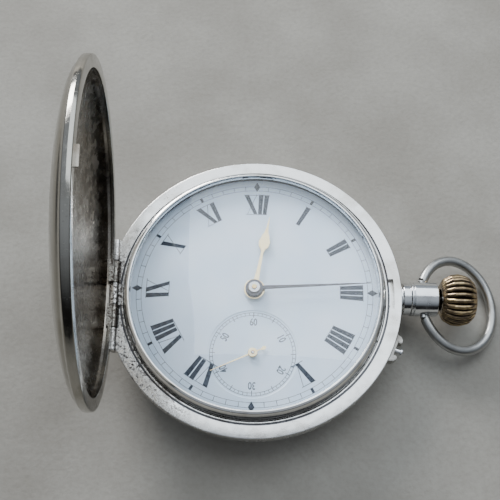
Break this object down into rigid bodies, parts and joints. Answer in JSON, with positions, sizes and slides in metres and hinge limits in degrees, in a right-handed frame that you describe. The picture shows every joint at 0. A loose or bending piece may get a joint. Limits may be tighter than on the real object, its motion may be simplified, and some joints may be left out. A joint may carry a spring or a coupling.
{
  "type": "hunter pocket watch",
  "caption": "Hunter pocket watch with sprung front cover, hinged back, winding crown, swinging bow, enamel dial with hands and a keyless lever movement.",
  "frame": {"origin": "middle of the flat on the outside of the rear cover, on which the watch lies", "axes": "+Z out of the dial, +X to the crown at 3 o'clock, +Y to 12 o'clock"},
  "size_m": [0.0704, 0.051, 0.0568],
  "materials": {
    "silver": "worn polished silver",
    "satin_silver": "dull satin silver",
    "gilt": "worn gilding",
    "brass": "gilt brass",
    "nickel": "striped nickel",
    "steel": "polished steel",
    "blued_steel": "heat blued steel",
    "enamel": "fired white enamel with black numerals",
    "glass": "clear domed glass"
  },
  "bodies": {
    "case": {"case_middle": "silver", "bezel": "silver", "crystal": "glass", "front_hinge_pin": "steel", "rear_hinge_pin": "steel", "cuvette_hinge_pin": "steel", "pendant": "silver", "set_pin_guard": "silver", "dial": "enamel", "main_plate": "nickel", "barrel_bridge": "nickel", "train_bridge": "nickel", "pallet_cock": "nickel", "balance_cock": "nickel", "crown_wheel_screw": "steel", "lift_spring": "steel", "lock_spring": "steel", "barrel_bridge_screw_1": "blued_steel", "barrel_bridge_screw_2": "blued_steel", "train_bridge_screw_1": "blued_steel", "train_bridge_screw_2": "blued_steel", "balance_cock_screw": "blued_steel", "hairspring": "blued_steel"},
    "front_cover": {"front_cover": "silver"},
    "rear_cover": {"rear_cover": "silver"},
    "cuvette": {"cuvette": "silver"},
    "bow": {"bow": "satin_silver"},
    "push_sleeve": {"push_sleeve": "steel"},
    "crown": {"crown": "gilt", "stem": "steel"},
    "winding_pinions": {"winding_pinion": "steel", "clutch_wheel": "steel"},
    "crown_wheel": {"crown_wheel": "steel"},
    "ratchet": {"ratchet_wheel": "steel", "ratchet_screw": "steel", "barrel_arbor": "steel"},
    "click": {"click": "steel"},
    "set_pin": {"set_pin": "silver"},
    "barrel": {"barrel": "brass", "barrel_cover": "brass", "mainspring": "steel"},
    "minute": {"minute_hand": "blued_steel", "cannon_pinion": "steel", "centre_wheel": "brass"},
    "hour": {"hour_hand": "gilt", "hour_wheel": "brass"},
    "minute_wheel": {"minute_wheel": "brass"},
    "third_wheel": {"third_wheel": "brass"},
    "fourth": {"fourth_wheel": "brass", "seconds_hand": "gilt"},
    "escape_wheel": {"escape_wheel": "steel"},
    "pallet_fork": {"pallet_fork": "steel"},
    "balance": {"balance_wheel": "brass", "roller": "steel"}
  },
  "joints": [
    {"name": "front_cover_hinge", "type": "hinge", "parent": "case", "child": "front_cover", "pos_m": [-0.02367, -0.00124, 0.00815], "axis": [-0.0523, 0.9986, 0], "range_deg": [0, 86], "stiffness_Nm_per_rad": 0.002, "springref_deg": -57.3},
    {"name": "rear_cover_hinge", "type": "hinge", "parent": "case", "child": "rear_cover", "pos_m": [-0.0239, 0, 0.00465], "axis": [0, 1, 0], "range_deg": [0, 85]},
    {"name": "cuvette_hinge", "type": "hinge", "parent": "case", "child": "cuvette", "pos_m": [-0.02175, 0, 0.00415], "axis": [0, 1, 0], "range_deg": [0, 70]},
    {"name": "bow_swing", "type": "hinge", "parent": "case", "child": "bow", "pos_m": [0.0288, 0, 0.0058], "axis": [0, 1, 0], "range_deg": [-110, 65]},
    {"name": "crown_push", "type": "slide", "parent": "case", "child": "push_sleeve", "axis": [-1, 0, 0], "range_m": [0, 0.0005], "stiffness_N_per_m": 400, "springref_m": -0.001},
    {"name": "crown_turn", "type": "hinge", "parent": "push_sleeve", "child": "crown", "pos_m": [0.028, 0, 0.0058], "axis": [1, 0, 0], "continuous": true},
    {"name": "winding_pinion_turn", "type": "hinge", "parent": "case", "child": "winding_pinions", "pos_m": [0.016, 0, 0.0058], "axis": [1, 0, 0], "continuous": true},
    {"name": "crown_wheel_turn", "type": "hinge", "parent": "case", "child": "crown_wheel", "pos_m": [0.01155, 0, 0], "axis": [0, 0, 1], "continuous": true},
    {"name": "ratchet_turn", "type": "hinge", "parent": "case", "child": "ratchet", "pos_m": [0.00363, 0.00779, 0], "axis": [0, 0, 1], "continuous": true},
    {"name": "click_rock", "type": "hinge", "parent": "case", "child": "click", "pos_m": [-0.005, 0.0032, 0], "axis": [0, 0, 1], "range_deg": [-15, 0], "stiffness_Nm_per_rad": 0.00002, "springref_deg": 11.46},
    {"name": "set_pin_push", "type": "slide", "parent": "case", "child": "set_pin", "axis": [-0.9272, 0.3746, 0], "range_m": [0, 0.0007], "stiffness_N_per_m": 100, "springref_m": -0.001},
    {"name": "minute_turn", "type": "hinge", "parent": "case", "child": "minute", "pos_m": [0, 0, 0], "axis": [0, 0, 1], "continuous": true},
    {"name": "hour_turn", "type": "hinge", "parent": "case", "child": "hour", "pos_m": [0, 0, 0], "axis": [0, 0, 1], "continuous": true},
    {"name": "minute_wheel_turn", "type": "hinge", "parent": "case", "child": "minute_wheel", "pos_m": [0.0036, 0, 0], "axis": [0, 0, 1], "continuous": true},
    {"name": "third_wheel_turn", "type": "hinge", "parent": "case", "child": "third_wheel", "pos_m": [0.00317, -0.00622, 0], "axis": [0, 0, 1], "continuous": true},
    {"name": "seconds_turn", "type": "hinge", "parent": "case", "child": "fourth", "pos_m": [0, -0.011, 0], "axis": [0, 0, 1], "continuous": true},
    {"name": "escape_wheel_turn", "type": "hinge", "parent": "case", "child": "escape_wheel", "pos_m": [-0.00404, -0.00876, 0], "axis": [0, 0, 1], "continuous": true},
    {"name": "barrel_turn", "type": "hinge", "parent": "case", "child": "barrel", "pos_m": [0.00363, 0.00779, 0], "axis": [0, 0, 1], "continuous": true},
    {"name": "pallet_rock", "type": "hinge", "parent": "case", "child": "pallet_fork", "pos_m": [-0.0071, -0.00706, 0], "axis": [0, 0, 1], "range_deg": [-4, 4]},
    {"name": "balance_swing", "type": "hinge", "parent": "case", "child": "balance", "pos_m": [-0.0108, -0.005, 0], "axis": [0, 0, 1], "range_deg": [-220, 220], "stiffness_Nm_per_rad": 0.0000004, "deforming": ["hairspring"]}
  ],
  "couplings": [
    {"joint": "cuvette_hinge", "follows": "rear_cover_hinge", "ratio": 0.8},
    {"joint": "winding_pinion_turn", "follows": "crown_turn", "ratio": 1},
    {"joint": "crown_wheel_turn", "follows": "crown_turn", "ratio": 0.375},
    {"joint": "ratchet_turn", "follows": "crown_turn", "ratio": -0.25},
    {"joint": "hour_turn", "follows": "minute_turn", "ratio": 0.083333},
    {"joint": "minute_wheel_turn", "follows": "minute_turn", "ratio": -0.33333},
    {"joint": "third_wheel_turn", "follows": "minute_turn", "ratio": -8},
    {"joint": "seconds_turn", "follows": "minute_turn", "ratio": 60},
    {"joint": "escape_wheel_turn", "follows": "minute_turn", "ratio": -600},
    {"joint": "barrel_turn", "follows": "minute_turn", "ratio": -0.16667}
  ]
}
